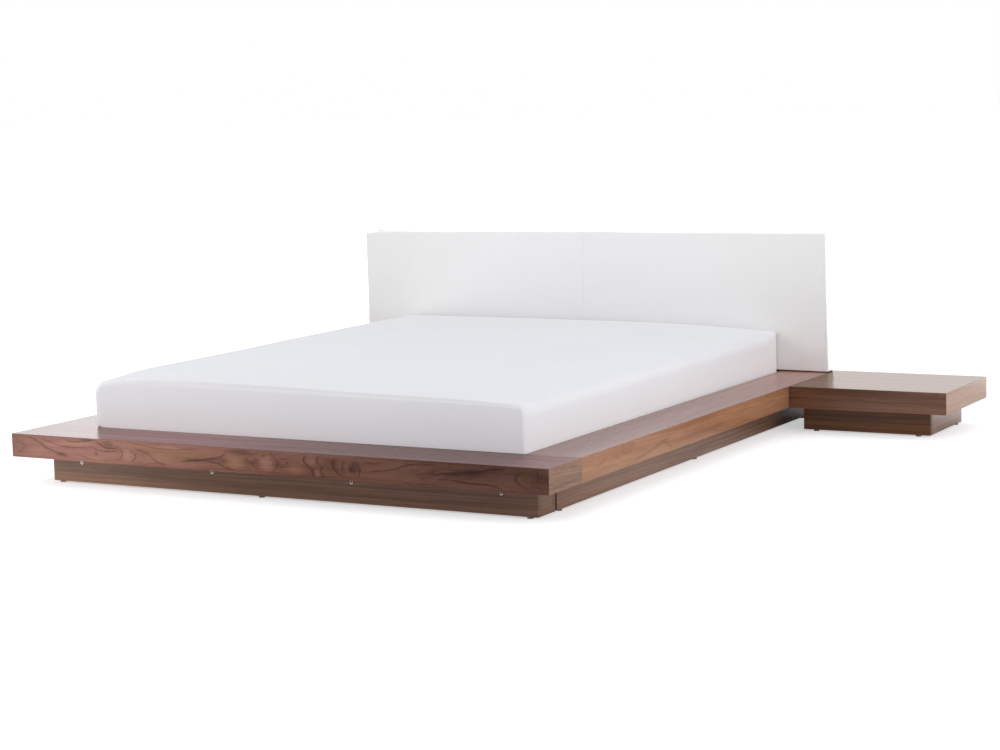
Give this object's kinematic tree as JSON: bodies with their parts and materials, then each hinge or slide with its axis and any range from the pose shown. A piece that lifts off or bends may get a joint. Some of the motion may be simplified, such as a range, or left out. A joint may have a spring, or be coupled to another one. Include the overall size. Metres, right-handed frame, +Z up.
{
  "type": "platform bed with LED lighting",
  "caption": "Low platform bed: walnut deck on a recessed plinth with foot-end LED lamps, a mattress in a well, a padded headboard and flush bedside tables.",
  "frame": {"origin": "on the floor, below the middle of the whole bed, tables and headboard brackets included", "axes": "+X to the right as seen from the foot end, +Y from the foot end to the headboard, +Z up"},
  "size_m": [3.1276, 2.2944, 0.68],
  "materials": {
    "deck_veneer": "semi-gloss crown-cut walnut veneer",
    "plinth_veneer": "satin straight-grained walnut veneer",
    "rail_wood": "satin stained wood",
    "slat_wood": "planed pine",
    "mattress_cover": "smooth white stretch cover",
    "headboard_leather": "satin white faux leather",
    "headboard_lining": "black non-woven lining",
    "bracket_steel": "zinc plated",
    "lamp_chrome": "polished",
    "lamp_lens": "dark unlit lens",
    "driver_plastic": "fine grained black plastic",
    "glide_plastic": "dark brown plastic"
  },
  "bodies": {
    "frame": {"front_top_board": "deck_veneer", "front_fascia": "deck_veneer", "front_end_left": "deck_veneer", "front_end_right": "deck_veneer", "left_deck_board": "deck_veneer", "right_deck_board": "deck_veneer", "left_fascia": "deck_veneer", "right_fascia": "deck_veneer", "head_deck_board": "deck_veneer", "rear_fascia": "deck_veneer", "front_plinth": "plinth_veneer", "front_plinth_back": "plinth_veneer", "front_plinth_return_left": "plinth_veneer", "front_plinth_return_right": "plinth_veneer", "left_plinth": "plinth_veneer", "right_plinth": "plinth_veneer", "rear_plinth": "plinth_veneer", "left_slat_rail": "rail_wood", "right_slat_rail": "rail_wood", "centre_beam": "rail_wood", "centre_leg": "rail_wood", "slat_01": "slat_wood", "slat_02": "slat_wood", "slat_03": "slat_wood", "slat_04": "slat_wood", "slat_05": "slat_wood", "slat_06": "slat_wood", "slat_07": "slat_wood", "slat_08": "slat_wood", "slat_09": "slat_wood", "slat_10": "slat_wood", "slat_11": "slat_wood", "slat_12": "slat_wood", "headboard_pad_left": "headboard_leather", "headboard_pad_right": "headboard_leather", "headboard_back_panel": "headboard_lining", "headboard_bracket_left": "bracket_steel", "headboard_bracket_right": "bracket_steel", "led_lamp_1": "lamp_chrome", "led_lamp_2": "lamp_chrome", "led_lamp_3": "lamp_chrome", "led_lamp_4": "lamp_chrome", "led_driver": "driver_plastic", "left_table_top": "deck_veneer", "left_table_front": "deck_veneer", "left_table_outer_side": "deck_veneer", "left_table_rear": "deck_veneer", "left_table_plinth_front": "plinth_veneer", "left_table_plinth_inner": "plinth_veneer", "left_table_plinth_outer": "plinth_veneer", "right_table_top": "deck_veneer", "right_table_front": "deck_veneer", "right_table_outer_side": "deck_veneer", "right_table_rear": "deck_veneer", "right_table_plinth_front": "plinth_veneer", "right_table_plinth_inner": "plinth_veneer", "right_table_plinth_outer": "plinth_veneer"},
    "mattress": {"mattress": "mattress_cover"}
  },
  "joints": [
    {"name": "mattress_lift", "type": "slide", "parent": "frame", "child": "mattress", "axis": [0, 0, 1], "range_m": [0, 0.25]}
  ]
}
